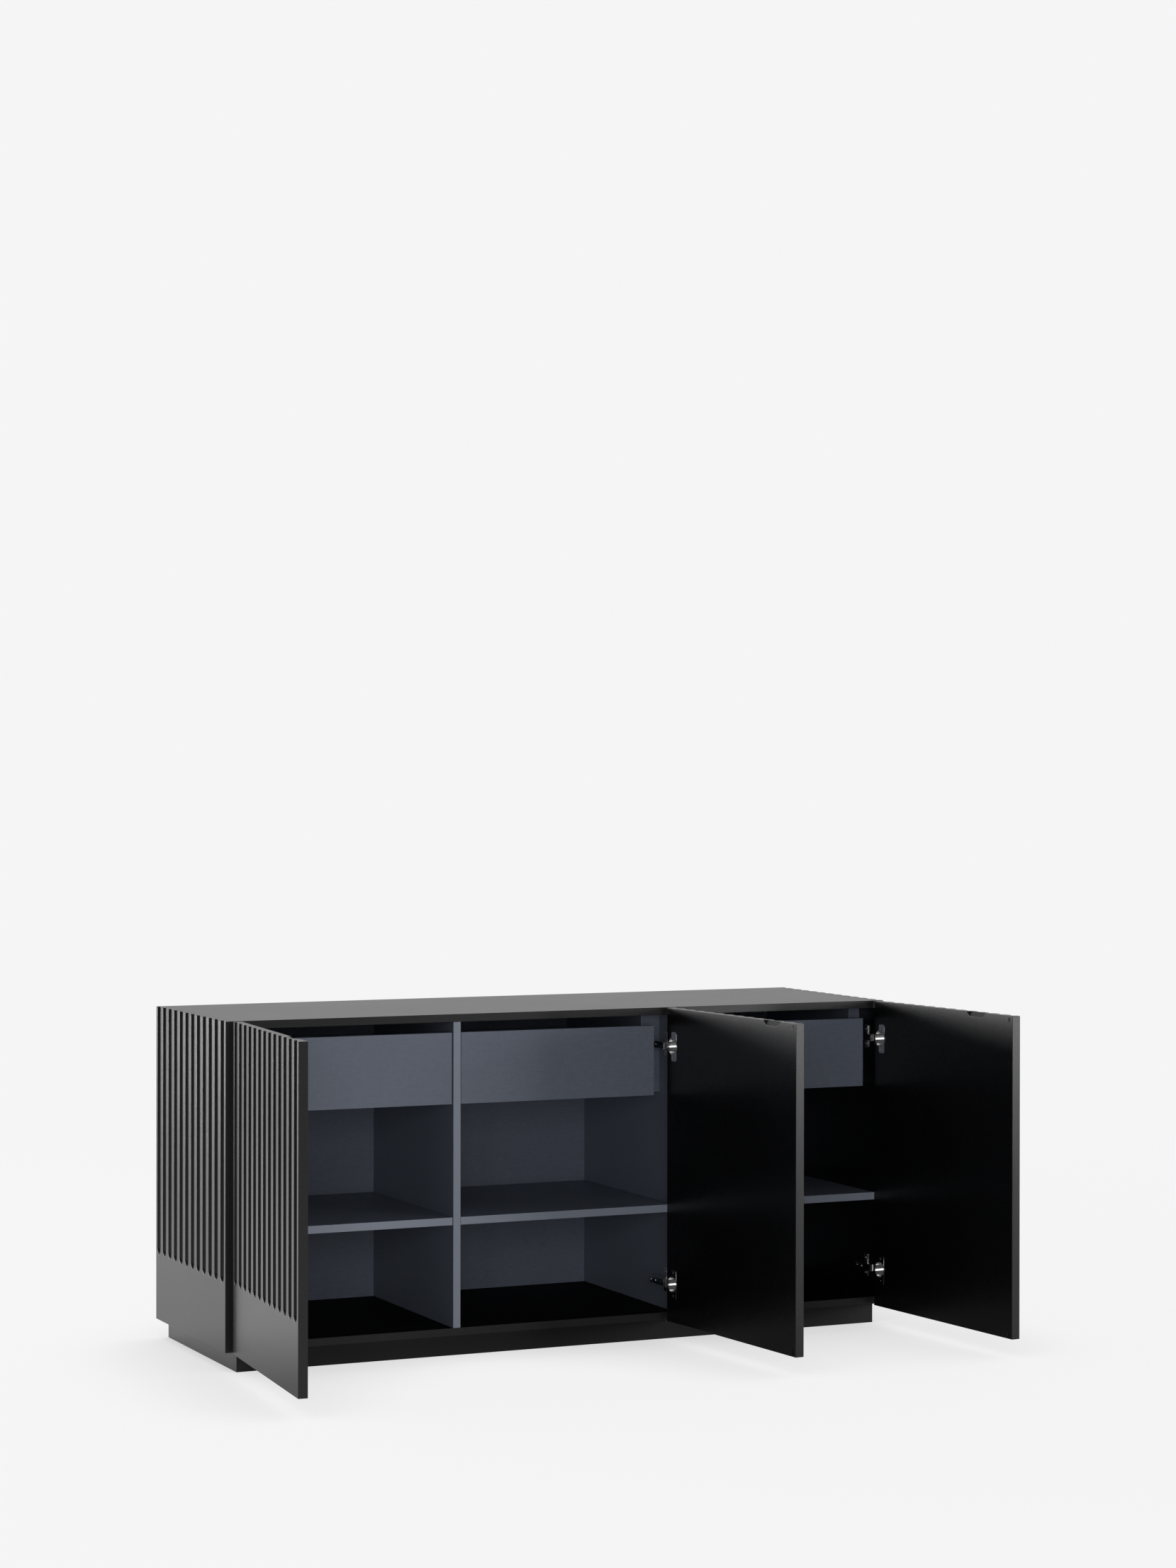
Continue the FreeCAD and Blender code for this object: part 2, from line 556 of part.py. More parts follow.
def back_screws():
    """Pan-head screws round the back panel and down each partition."""
    low, high = ON_BOTTOM - BACK_SCREW_EDGE, UNDER_TOP + BACK_SCREW_EDGE
    step = (WIDTH - 2 * BACK_SCREW_END_INSET) / (BACK_SCREWS_IN_ROW - 1)
    places = []
    for i in range(BACK_SCREWS_IN_ROW):
        x = LEFT + BACK_SCREW_END_INSET + i * step
        places.extend([(x, low), (x, high)])
    side_lines = (LEFT + SIDE_THICKNESS - BACK_SCREW_EDGE, RIGHT - SIDE_THICKNESS + BACK_SCREW_EDGE)
    for x in side_lines + PARTITION_CENTRES:
        places.extend([(x, CARCASS_BOTTOM + CARCASS_HEIGHT * level) for level in BACK_SCREW_LEVELS])
    screws = []
    for x, z in places:
        head = cylinder(BACK_SCREW_HEAD_RADIUS, BACK_SCREW_HEAD_HEIGHT, (x, BACK, z), (0, 1, 0))
        shank = cylinder(BACK_SCREW_RADIUS, BACK_SCREW_LENGTH, (x, BACK, z), (0, -1, 0))
        screws.append(head.fuse(shank))
    return screws


# ---- carcass --------------------------------------------------------------------------------
def side_panel(outer, inward, cutters):
    x0, x1 = sorted((outer, outer + inward * SIDE_THICKNESS))
    panel = box(x0, FRONT, CARCASS_BOTTOM, x1, BACK, HEIGHT)
    axis_x = outer - inward * FLUTE_AXIS_OUT
    flutes = [flute_cutter(axis_x, FRONT + y) for y in flute_places(DEPTH, SIDE_FLUTES)]
    return cut_all(panel, flutes + cutters)


def carcass_nodes():
    cams, bolts, dowels = end_joints()
    dowels = dowels + partition_dowels()
    pins = shelf_pins()
    screws = back_screws()
    plates = cabinet_hinges()
    rebated_back = box(LEFT + SIDE_THICKNESS - BACK_REBATE, INNER_BACK, CARCASS_BOTTOM + BACK_REBATE,
                       RIGHT - SIDE_THICKNESS + BACK_REBATE, BACK, HEIGHT - BACK_REBATE)
    hardware = cams + bolts + dowels + pins + screws + plates["hinge_plate_screws"].Solids
    cutters = hardware + [rebated_back]
    x0, x1 = LEFT + SIDE_THICKNESS, RIGHT - SIDE_THICKNESS
    px0, px1 = LEFT + PLINTH_SIDE_INSET, RIGHT - PLINTH_SIDE_INSET
    py0, py1 = FRONT + PLINTH_FRONT_INSET, BACK - PLINTH_BACK_INSET
    left_centre, right_centre = PARTITION_CENTRES
    nodes = {
        "left_side_panel": side_panel(LEFT, 1, cutters),
        "right_side_panel": side_panel(RIGHT, -1, cutters),
        "top_panel": cut_all(box(x0, FRONT, UNDER_TOP, x1, BACK, HEIGHT), cutters),
        "bottom_panel": cut_all(box(x0, FRONT, CARCASS_BOTTOM, x1, BACK, ON_BOTTOM), cutters),
        "back_panel": cut_all(rebated_back, screws),
        "plinth_front_rail": box(px0, py0, 0, px1, py0 + BOARD, PLINTH_HEIGHT),
        "plinth_back_rail": box(px0, py1 - BOARD, 0, px1, py1, PLINTH_HEIGHT),
        "plinth_left_rail": box(px0, py0 + BOARD, 0, px0 + BOARD, py1 - BOARD, PLINTH_HEIGHT),
        "plinth_right_rail": box(px1 - BOARD, py0 + BOARD, 0, px1, py1 - BOARD, PLINTH_HEIGHT),
        "plinth_middle_rail": box(-BOARD / 2, py0 + BOARD, 0, BOARD / 2, py1 - BOARD, PLINTH_HEIGHT),
        "cam_locks": group([cam.cut(group(bolts)) for cam in cams]),
        "connector_bolts": group(bolts),
        "wooden_dowels": group(dowels),
        "shelf_pins": group(pins),
        "back_panel_screws": group(screws),
    }
    for name, centre in (("left_partition", left_centre), ("right_partition", right_centre)):
        board = box(centre - BOARD / 2, FRONT, ON_BOTTOM, centre + BOARD / 2, INNER_BACK, UNDER_TOP)
        nodes[name] = cut_all(board, cutters)
    for name in BAY_NAMES:
        nodes[f"{name}_shelf"] = shelf(name)
        nodes[f"{name}_packer"] = packer(name)
    nodes.update(plates)
    nodes.update(runner_nodes())
    return nodes


def main():
    os.makedirs("parts", exist_ok=True)
    nodes = carcass_nodes()
    for name in BAY_NAMES:
        nodes.update(door_nodes(name))
        nodes.update(drawer_nodes(name))
    for name, shape in nodes.items():
        shape.exportStep(f"parts/{name}.step")
        print(name, "solids", len(shape.Solids), "valid", shape.isValid(), "volume", round(shape.Volume))
    print("nodes", len(nodes))


main()
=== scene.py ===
import json
import math

import bmesh
import bpy
from mathutils import Matrix, Vector


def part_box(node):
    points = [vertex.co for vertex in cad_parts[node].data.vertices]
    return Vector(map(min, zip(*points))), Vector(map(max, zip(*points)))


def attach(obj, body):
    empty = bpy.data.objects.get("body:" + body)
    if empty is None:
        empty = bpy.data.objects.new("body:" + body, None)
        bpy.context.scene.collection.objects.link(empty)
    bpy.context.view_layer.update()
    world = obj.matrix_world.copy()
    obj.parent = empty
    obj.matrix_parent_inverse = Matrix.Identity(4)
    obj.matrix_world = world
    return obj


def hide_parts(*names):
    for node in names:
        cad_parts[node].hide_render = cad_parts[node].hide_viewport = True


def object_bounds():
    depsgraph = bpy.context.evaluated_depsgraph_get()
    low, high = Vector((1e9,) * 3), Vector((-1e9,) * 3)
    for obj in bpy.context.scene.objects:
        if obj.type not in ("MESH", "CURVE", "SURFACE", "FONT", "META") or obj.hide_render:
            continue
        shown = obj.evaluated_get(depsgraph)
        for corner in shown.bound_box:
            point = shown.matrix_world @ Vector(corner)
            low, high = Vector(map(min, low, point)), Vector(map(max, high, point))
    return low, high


# Looks for the sideboard buffet.  Metres, in the part's own frame.
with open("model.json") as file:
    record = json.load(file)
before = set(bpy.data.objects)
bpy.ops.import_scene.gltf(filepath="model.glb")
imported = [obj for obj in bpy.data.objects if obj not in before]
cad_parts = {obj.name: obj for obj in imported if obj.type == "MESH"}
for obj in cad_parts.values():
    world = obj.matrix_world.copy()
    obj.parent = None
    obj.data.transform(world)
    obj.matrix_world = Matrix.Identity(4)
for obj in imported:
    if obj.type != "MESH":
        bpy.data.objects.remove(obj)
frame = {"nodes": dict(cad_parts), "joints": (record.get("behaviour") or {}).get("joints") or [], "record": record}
cad_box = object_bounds()

MM = 0.001
BAYS = ("left", "middle", "right")
NODES = frame["nodes"]
JOINTS = {joint["name"]: joint for joint in frame["joints"]}
SLOT_OF = {part["node"]: part["material_slot"] for part in frame["record"]["subparts"]}

# ---- sizes that the frame doesn't state ----------------------------------------------------------
FLUTE_PITCH = 38 * MM
FLUTE_WIDTH = 22 * MM
FLUTE_DEPTH = 7 * MM
FLUTE_END_HEIGHT = 139 * MM          # lowest point of a flute above the panel's lower edge
FLUTE_LIP = 1.0 * MM                 # rounding where a flute meets the flat face
SIDE_FLUTES = 12
DOOR_FLUTES = 13
REBATE_OVERCUT = 1.0 * MM

NOTCH_FROM_FREE_EDGE = {"left": 90 * MM, "middle": 90 * MM, "right": 127 * MM}
NOTCH_TOP_WIDTH = 66 * MM
NOTCH_BACK_WIDTH = 48 * MM
NOTCH_LOW_WIDTH = 42 * MM
NOTCH_HEIGHT = 10 * MM
NOTCH_DEPTH = 9 * MM
CUP_RADIUS = 17.5 * MM
CUP_CENTRE_IN = 21.5 * MM            # from the door's hinge edge
CUP_DEPTH = 11.5 * MM
HINGE_HEIGHTS = (120 * MM, 620 * MM)

CUP_SCREW_LINE_IN = 27.5 * MM        # from the door's hinge edge
CUP_SCREW_HALF_SPACING = 24 * MM
FLANGE_THICKNESS = 0.8 * MM
PLATE_SCREW_BEHIND_FRONT = 37 * MM
PLATE_SCREW_HALF_SPACING = 16 * MM
PLATE_SEAT = 1.4 * MM                # underside of the head above the wall
ARM_FACE_IN = 33 * MM                # the arm's face, from the door's hinge edge
ARM_WELLS_BEHIND_FRONT = (30 * MM, 50 * MM)
ARM_WELL_DEPTH = 2.5 * MM

# (radius, height) pairs from the bottom of a screw to the middle of its head, in millimetres
CUP_SCREW = ((0, -11.0), (0.9, -10.2), (1.8, -8.6), (1.8, -1.6), (3.2, -0.25), (3.4, -0.05),
             (3.3, 0.0), (0, 0.0))
PLATE_SCREW = ((0, -12.0), (1.2, -11.0), (2.2, -9.6), (2.2, 0.0), (3.5, 0.0), (3.6, 0.12),
               (3.6, 0.9), (3.4, 1.35), (2.9, 1.7), (2.0, 1.92), (1.0, 2.0), (0, 2.0))
WELL_SCREW = ((0, 0.0), (2.3, 0.0), (2.4, 0.1), (2.4, 1.4), (2.3, 1.55), (2.1, 1.6), (0, 1.6))

# (width, length, depth) of the cross recess in each screw's head, in millimetres
CUP_SCREW_CROSS = (0.9, 4.2, 1.3)
PLATE_SCREW_CROSS = (1.0, 4.6, 1.5)
WELL_SCREW_CROSS = (0.8, 3.4, 1.0)
CROSS_TURN = math.radians(45)
CROSS_MOUTH_SHARE = 1.2              # a recess's size above the head and at its floor
CROSS_FLOOR_SHARE = 0.45

# ---- rounded edges and smoothing -----------------------------------------------------------------
PANEL_EDGE = 0.7 * MM                # radius on the fluted panels
BOARD_EDGE = 0.6 * MM                # radius on CAD boards
HARDWARE_EDGE = 0.2 * MM             # radius on CAD hardware and on the thin back panel
HARDWARE_SLOTS = ("nickel_steel", "runner_steel", "nylon", "clear_bumper", "back_board")
EDGE_SEGMENTS = 3
ROUND_PROFILE = 0.5
PANEL_ROUND_FROM = math.radians(30)  # edges sharper than this are rounded
CAD_ROUND_FROM = math.radians(50)
CAD_SHARP_FROM = math.radians(30)    # edges blunter than this are shaded smooth
PIECE_SHARP_FROM = math.radians(32)
CAD_FLAT_WITHIN = math.radians(0.5)  # neighbouring faces this close to flat become one
CAD_WELD = 1e-5
NORMAL_WEIGHT = 90
MERGE = 1e-6                         # points closer than this are one point
LEVEL_DIGITS = 7
LEVEL_SLACK = 1e-7

# ---- mesh steps ----------------------------------------------------------------------------------
ARC_STEPS = 10
LIP_STEPS = 4
BALL_STEPS = 24
CUP_SEGMENTS = 64
SCREW_STEPS = 32
FLOOR_SEGMENTS = 96

# ---- colours: linear, from the darkest to the palest cloud of each surface ------------------------
LACQUER = ((0.0030, 0.0030, 0.0032), (0.0046, 0.0046, 0.0048))
LACQUER_DUST = (0.010, 0.010, 0.0105)
# paler black for the carcass front edges and the doors' free edges: a painted highlight for the light these edges
# catch
LACQUER_EDGE_HIGHLIGHT = (0.022, 0.022, 0.0225)
GRAPHITE = ((0.149, 0.172, 0.228), (0.203, 0.232, 0.297))
GRAPHITE_CLOUD = (0.160, 0.184, 0.236)
# paler blue-grey for the graphite boards' front edges: a painted highlight
GRAPHITE_EDGE_HIGHLIGHT = (0.31, 0.345, 0.42)
BACK_INSIDE = ((0.128, 0.148, 0.200), (0.166, 0.190, 0.252))
BACK_OUTSIDE = ((0.010, 0.010, 0.0105), (0.016, 0.016, 0.0165))
NICKEL = ((0.62, 0.62, 0.62), (0.72, 0.71, 0.70))
RUNNER = ((0.20, 0.20, 0.21), (0.26, 0.26, 0.27))
NYLON = ((0.70, 0.70, 0.68), (0.78, 0.78, 0.75))
BUMPER = ((0.86, 0.87, 0.88), (0.93, 0.93, 0.94))
BEECH = ((0.50, 0.32, 0.17), (0.62, 0.43, 0.25))

# ---- lacquer -------------------------------------------------------------------------------------
LACQUER_SPECULAR = 0.5
LACQUER_ROUGH = (0.255, 0.275)
LACQUER_ROUGH_GRAIN = (-0.008, 0.01)
MATTE_ROUGHER = 0.4                  # what the matte face adds to roughness and takes from specular
MATTE_LESS_SPECULAR = 0.42
DUST_AT = (0.70, 0.78)               # the speckle noise's range that turns into dust

# ---- areas painted by position -------------------------------------------------------------------
MASK_BLUR = 0.2 * MM                 # width of a painted area's soft border
MATTE_REACH = 0.8 * MM               # the matte paint above and below the bottom board's face
MATTE_INSET = 1.0 * MM               # and how far from the board's front edge and ends it stops
HIGHLIGHT_BEHIND_FRONT = 0.4 * MM         # how far the painted highlight reaches round the black carcass front
HIGHLIGHT_AHEAD_OF_FRONT = 1.0 * MM
HIGHLIGHT_ON_DOOR_TIP = 1.8 * MM
GRAPHITE_HIGHLIGHT_AT = -227.1 * MM       # graphite boards in front of this line get a painted highlight on their front edges
BACK_SKIN = 0.4 * MM                 # depth of the black paint on the back panel

# ---- light and stage -----------------------------------------------------------------------------
BACKGROUND = 0.913                   # radiance of the pale backdrop
WORLD_FRONT = 0.12                   # the backdrop's light from the front and from behind
WORLD_BACK = 0.58
WORLD_FRONT_AT = 0.0                 # Y of the directions between which it changes
WORLD_BACK_AT = 0.7

# name, place, target, (width, height) in metres, watts
SOFTBOXES = (
    ("key_softbox", (-4.4, 3.2, 0.7), (-0.6, 0.0, 0.3), (3.6, 1.3), 270.0),
    ("front_softbox", (-2.3, -6.2, 1.1), (-0.1, 0.0, 0.4), (3.0, 2.2), 74.0),
    ("front_right_softbox", (4.7, -5.8, 1.0), (0.6, -0.6, 0.4), (2.6, 1.8), 105.0),
)

FLOOR_RADIUS = 6.0
FLOOR_TONE = 0.92
FLOOR_TONE_CHANGE = 0.004
FLOOR_GLOW = 0.90                    # share of the floor's look that takes only a contact shadow
FLOOR_DARK = 0.66                    # the glow under the part and in the open
FLOOR_LIGHT = 0.972
CONTACT_REACH = 0.45
CONTACT_RANGE = (0.2, 0.85)          # openness at which the glow is dark, and light
CONTACT_SAMPLES = 16
REFLECTED_GLOW = 0.7                 # share of glow in what the part mirrors of the floor behind it
REFLECTED_RANGE = (-0.4, 0.3)        # Y at which that glow starts, and is full
FLOOR_FADE = (2.0, 4.5)              # distance at which the floor starts to fade, and is gone

# ---- camera --------------------------------------------------------------------------------------
CAMERA_LENS = 76.21                  # millimetres
CAMERA_CLIP_END = 100.0
CAMERA_PLACE = (-2.8543, -6.5194, 1.2108)
CAMERA_HEADING = math.radians(-24.727)
CAMERA_TILT = math.radians(90 - 0.327)
CAMERA_ROLL = math.radians(0.072)

# The Mix node's sockets share names, so they are reached by number.
MIX_FLOATS = (2, 3)
MIX_FLOAT_RESULT = 0
MIX_COLOURS = (6, 7)
MIX_COLOUR_RESULT = 2


# ================================ materials =======================================================
def new_node(tree, kind, **settings):
    made = tree.nodes.new(kind)
    for key, value in settings.items():
        setattr(made, key, value)
    return made


class Material:
    """A principled material with helpers for procedural detail in the part's own metres."""

    def __init__(self, name, **principled):
        self.data = bpy.data.materials.new(name)
        self.data.use_nodes = True
        self.tree = self.data.node_tree
        self.shader = self.tree.nodes["Principled BSDF"]
        for key, value in principled.items():
            self.shader.inputs[key.replace("_", " ")].default_value = value
        self.coordinates = new_node(self.tree, "ShaderNodeTexCoord").outputs["Object"]

    def link(self, source, target):
        self.tree.links.new(source, target)

    def position(self):
        """The X, Y and Z sockets of the place being shaded."""
        made = new_node(self.tree, "ShaderNodeSeparateXYZ")
        self.link(self.coordinates, made.inputs[0])
        return made.outputs

    def noise(self, scale, detail=3.0, roughness=0.55, vector=None):
        made = new_node(self.tree, "ShaderNodeTexNoise")
        made.inputs["Scale"].default_value = scale
        made.inputs["Detail"].default_value = detail
        made.inputs["Roughness"].default_value = roughness
        self.link(vector or self.coordinates, made.inputs["Vector"])
        return made.outputs["Fac"]

    def fibres(self, scales, detail):
        """Noise with its own scale along each axis; it is longest where the scale is lowest."""
        mapping = new_node(self.tree, "ShaderNodeMapping")
        mapping.inputs["Scale"].default_value = scales
        self.link(self.coordinates, mapping.inputs["Vector"])
        return self.noise(1.0, detail, roughness=0.6, vector=mapping.outputs["Vector"])

    def ramp(self, factor, colours, start=0.3, end=0.7):
        """A blend from a first to a second colour while the factor goes from start to end."""
        made = new_node(self.tree, "ShaderNodeValToRGB")
        for element, position, colour in zip(made.color_ramp.elements, (start, end), colours):
            element.position = position
            element.color = (*colour, 1.0)
        self.link(factor, made.inputs["Fac"])
        return made.outputs["Color"]

    def level(self, factor, low, high, start=0.3, end=0.7):
        """A value from low to high while the factor goes from start to end."""
        made = new_node(self.tree, "ShaderNodeMapRange")
        for key, value in (("From Min", start), ("From Max", end), ("To Min", low), ("To Max", high)):
            made.inputs[key].default_value = value
        self.link(factor, made.inputs["Value"])
        return made.outputs["Result"]

    def above(self, value, limit):
        """1 over a limit and 0 under it, with a soft border on the low side."""
        return self.level(value, 0.0, 1.0, limit - MASK_BLUR, limit)

    def below(self, value, limit, blur=MASK_BLUR):
        """1 under a limit and 0 over it, with a soft border on the high side."""
        return self.level(value, 1.0, 0.0, limit, limit + blur)

    def mixed(self, factor, first, second):
        made = new_node(self.tree, "ShaderNodeMix", data_type="RGBA")
        self.link(factor, made.inputs["Factor"])
        for source, number in zip((first, second), MIX_COLOURS):
            if isinstance(source, tuple):
                made.inputs[number].default_value = (*source, 1.0)
            else:
                self.link(source, made.inputs[number])
        return made.outputs[MIX_COLOUR_RESULT]

    def math(self, operation, first, second):
        made = new_node(self.tree, "ShaderNodeMath", operation=operation)
        for source, socket in zip((first, second), made.inputs):
            if isinstance(source, float):
                socket.default_value = source
            else:
                self.link(source, socket)
        return made.outputs[0]

    def bump(self, height, strength, distance):
        made = new_node(self.tree, "ShaderNodeBump")
        made.inputs["Strength"].default_value = strength
        made.inputs["Distance"].default_value = distance
        self.link(height, made.inputs["Height"])
        return made.outputs["Normal"]

    def set(self, **sockets):
        for key, source in sockets.items():
            self.link(source, self.shader.inputs[key.replace("_", " ")])


def matte_inside(made, place):
    """1 on the bottom board's inner face, which is left matte, and 0 elsewhere."""
    low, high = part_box("bottom_panel")
    over = made.above(place["Z"], high.z - MATTE_REACH)
    under = made.below(place["Z"], high.z + MATTE_REACH)
    within = made.above(place["Y"], low.y + MATTE_INSET)
    from_middle = made.math("ABSOLUTE", place["X"], 0.0)
    between = made.below(from_middle, high.x - MATTE_INSET, MATTE_INSET)
    on_face = made.math("MULTIPLY", over, under)
    in_bay = made.math("MULTIPLY", within, between)
    return made.math("MULTIPLY", on_face, in_bay)


def edge_highlight_mask(made, place):
    """1 on the carcass front's edges and the doors' free edges, which get a painted highlight, and 0 elsewhere."""
    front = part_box("top_panel")[0].y
    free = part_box("left_door_panel")[0].y
    behind = made.below(place["Y"], front + HIGHLIGHT_BEHIND_FRONT)
    ahead = made.above(place["Y"], front - HIGHLIGHT_AHEAD_OF_FRONT)
    tip = made.below(place["Y"], free + HIGHLIGHT_ON_DOOR_TIP)
    return made.math("MAXIMUM", made.math("MULTIPLY", behind, ahead), tip)


def black_lacquer():
    """Satin black lacquer: spray texture, faint clouding and fine dust."""
    made = Material("black_lacquer")
    cloud = made.noise(5.0, detail=4.0)
    grain = made.noise(900.0, detail=2.0)
    dust = made.level(made.noise(2600.0, detail=1.0), 0.0, 1.0, *DUST_AT)
    place = made.position()
    dusty = made.mixed(dust, made.ramp(cloud, LACQUER), LACQUER_DUST)
    # the front edges are painted paler: a painted highlight
    made.set(Base_Color=made.mixed(edge_highlight_mask(made, place), dusty, LACQUER_EDGE_HIGHLIGHT))
    matte = matte_inside(made, place)
    satin = made.math("ADD", made.level(cloud, *LACQUER_ROUGH), made.level(grain, *LACQUER_ROUGH_GRAIN))
    made.set(Roughness=made.math("ADD", satin, made.math("MULTIPLY", matte, MATTE_ROUGHER)))
    duller = made.math("MULTIPLY", matte, MATTE_LESS_SPECULAR)
    made.set(Specular_IOR_Level=made.math("SUBTRACT", LACQUER_SPECULAR, duller))
    made.set(Normal=made.bump(grain, strength=0.05, distance=0.02 * MM))
    return made.data


def graphite_melamine():
    """Blue-grey melamine with a short, faint fibre print, and front edges painted paler as a painted highlight."""
    made = Material("graphite_melamine")
    lying = made.fibres((60.0, 60.0, 700.0), detail=4.0)
    upright = made.fibres((520.0, 520.0, 90.0), detail=3.0)
    cloud = made.level(made.noise(7.0), 0.0, 0.35)
    fibres = made.math("ADD", made.level(lying, -0.5, 0.5, start=0.25, end=0.75),
                       made.level(upright, -0.35, 0.35, start=0.25, end=0.75))
    print_tone = made.level(fibres, 0.0, 1.0, start=-0.6, end=0.6)
    board = made.mixed(cloud, made.ramp(print_tone, GRAPHITE, start=0.0, end=1.0), GRAPHITE_CLOUD)
    # the front edges are painted paler: a painted highlight
    highlight = made.below(made.position()["Y"], GRAPHITE_HIGHLIGHT_AT)
    made.set(Base_Color=made.mixed(highlight, board, GRAPHITE_EDGE_HIGHLIGHT))
    made.set(Roughness=made.level(lying, 0.44, 0.56))
    made.set(Normal=made.bump(fibres, strength=0.35, distance=0.05 * MM))
    return made.data


def back_board():
    """Thin hardboard: laminated blue-grey inside, painted black on the face that looks backward."""
    made = Material("back_board")
    fibres = made.fibres((90.0, 90.0, 500.0), detail=4.0)
    behind = made.above(made.position()["Y"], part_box("back_panel")[1].y - BACK_SKIN)
    made.set(Base_Color=made.mixed(behind, made.ramp(fibres, BACK_INSIDE), made.ramp(fibres, BACK_OUTSIDE)))
    made.set(Roughness=made.level(fibres, 0.52, 0.66))
    made.set(Normal=made.bump(fibres, strength=0.3, distance=0.08 * MM))
    return made.data


def metal(name, colours, rough, strength):
    """Plated or coated metal with fine drawing marks and stains."""
    made = Material(name, Metallic=1.0)
    marks = made.fibres((175.0, 175.0, 1400.0), detail=3.0)
    stain = made.noise(60.0)
    made.set(Base_Color=made.ramp(stain, colours))
    made.set(Roughness=made.math("ADD", made.level(stain, *rough), made.level(marks, -0.04, 0.05)))
    made.set(Normal=made.bump(marks, strength, distance=0.03 * MM))
    return made.data


def moulded(name, colours, rough, **principled):
    """Moulded plastic, rubber or raw wood with a fine skin."""
    made = Material(name, **principled)
    skin = made.noise(700.0, detail=2.0)
    cloud = made.noise(40.0)
    made.set(Base_Color=made.ramp(cloud, colours))
    made.set(Roughness=made.level(skin, *rough))
    made.set(Normal=made.bump(skin, strength=0.2, distance=0.06 * MM))
    return made.data


MATERIALS = {
    "black_lacquer": black_lacquer(),
    "graphite_melamine": graphite_melamine(),
    "back_board": back_board(),
    "nickel_steel": metal("nickel_steel", NICKEL, (0.10, 0.18), strength=0.1),
    "runner_steel": metal("runner_steel", RUNNER, (0.35, 0.45), strength=0.2),
    "nylon": moulded("nylon", NYLON, (0.35, 0.5)),
    "clear_bumper": moulded("clear_bumper", BUMPER, (0.18, 0.26), Transmission_Weight=1.0, IOR=1.42),
    "beech": moulded("beech", BEECH, (0.5, 0.7)),
}


# ================================ piece helpers ===================================================
def as_object(bm, name):
    """An object in the scene that takes a bmesh over."""
    mesh = bpy.data.meshes.new(name)
    bm.to_mesh(mesh)
    bm.free()
    made = bpy.data.objects.new(name, mesh)
    bpy.context.scene.collection.objects.link(made)
    return made


def finish_piece(bm, name, body, slot, replaced):
    """Turn a bmesh into a shown piece that rides on a body and takes a slot's material."""
    bmesh.ops.remove_doubles(bm, verts=bm.verts, dist=MERGE)
    bmesh.ops.recalc_face_normals(bm, faces=bm.faces)
    piece = as_object(bm, name)
    piece.data.materials.append(MATERIALS[slot])
    shade_crisp(piece)
    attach(piece, body)
    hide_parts(*replaced)


def shade_crisp(piece):
    """Smooth rounded edges and keep flat faces flat."""
    piece.data.shade_smooth()
    piece.data.set_sharp_from_angle(angle=PIECE_SHARP_FROM)
    weighted = piece.modifiers.new("weighted", "WEIGHTED_NORMAL")
    weighted.keep_sharp = True
    weighted.weight = NORMAL_WEIGHT


def grid(bm, rows):
    """Quads between rows of points; a row of one point makes a fan."""
    made = [[bm.verts.new(p) for p in row] for row in rows]
    for low, high in zip(made, made[1:]):
        if len(low) == 1:
            for a, b in zip(high, high[1:]):
                bm.faces.new((low[0], a, b))
            continue
        for i in range(len(low) - 1):
            bm.faces.new((low[i], low[i + 1], high[i + 1], high[i]))


def subtract(bm, cutter_bm):
    """Boolean difference of two closed bmeshes, which are used up."""
    for source in (bm, cutter_bm):
        bmesh.ops.recalc_face_normals(source, faces=source.faces)
    kept = as_object(bm, "cut")
    cutter = as_object(cutter_bm, "cutter")
    difference = kept.modifiers.new("difference", "BOOLEAN")
    difference.operation = "DIFFERENCE"
    difference.solver = "EXACT"
    difference.object = cutter
    graph = bpy.context.evaluated_depsgraph_get()
    applied = bpy.data.meshes.new_from_object(kept.evaluated_get(graph), depsgraph=graph)
    result = bmesh.new()
    result.from_mesh(applied)
    spent = (kept.data, cutter.data, applied)
    bpy.data.objects.remove(kept)
    bpy.data.objects.remove(cutter)
    for mesh in spent:
        bpy.data.meshes.remove(mesh)
    return result


# ================================ fluted panels ===================================================
def flute_section():
    """(distance from the flute's centre line, depth) from the bottom of the flute to the flat face."""
    radius = (FLUTE_WIDTH ** 2 / 4 + FLUTE_DEPTH ** 2) / (2 * FLUTE_DEPTH)
    axis_out = radius - FLUTE_DEPTH
    reach = math.sqrt((radius + FLUTE_LIP) ** 2 - (axis_out + FLUTE_LIP) ** 2)
    lean = math.atan2(reach, axis_out + FLUTE_LIP)
    turns = [lean * i / ARC_STEPS for i in range(ARC_STEPS + 1)]
    section = [(radius * math.sin(t), radius * math.cos(t) - axis_out) for t in turns]
    turns = [lean * (1 - i / LIP_STEPS) for i in range(1, LIP_STEPS + 1)]
    section += [(reach - FLUTE_LIP * math.sin(t), FLUTE_LIP - FLUTE_LIP * math.cos(t)) for t in turns]
    return section


def flute_cell(bm, centre, ball_height, bottom, top):
    """One flute and the flat face round it; returns the heights of the cell's border points."""
    section = flute_section()
    half = FLUTE_PITCH / 2
    columns = [(-half, 0.0)] + [(-r, d) for r, d in section[:0:-1]] + section + [(half, 0.0)]
    grid(bm, [[(centre + r, d, z) for r, d in columns] for z in (ball_height, top)])
    angles = [math.pi * (1 + k / BALL_STEPS) for k in range(BALL_STEPS + 1)]
    rings = [[(centre, section[0][1], ball_height)]]
    for r, d in section[1:]:
        rings.append([(centre + r * math.cos(t), d, ball_height + r * math.sin(t)) for t in angles])
    border = []
    for t in angles:
        reach = half / max(abs(math.cos(t)), abs(math.sin(t)))
        border.append((centre + reach * math.cos(t), 0.0, ball_height + reach * math.sin(t)))
    grid(bm, rings + [border])
    low = [p for p in border if p[2] < ball_height - half + LEVEL_SLACK]
    grid(bm, [low, [(p[0], 0.0, bottom) for p in low]])
    return sorted({round(p[2], LEVEL_DIGITS) for p in border} | {bottom, top})


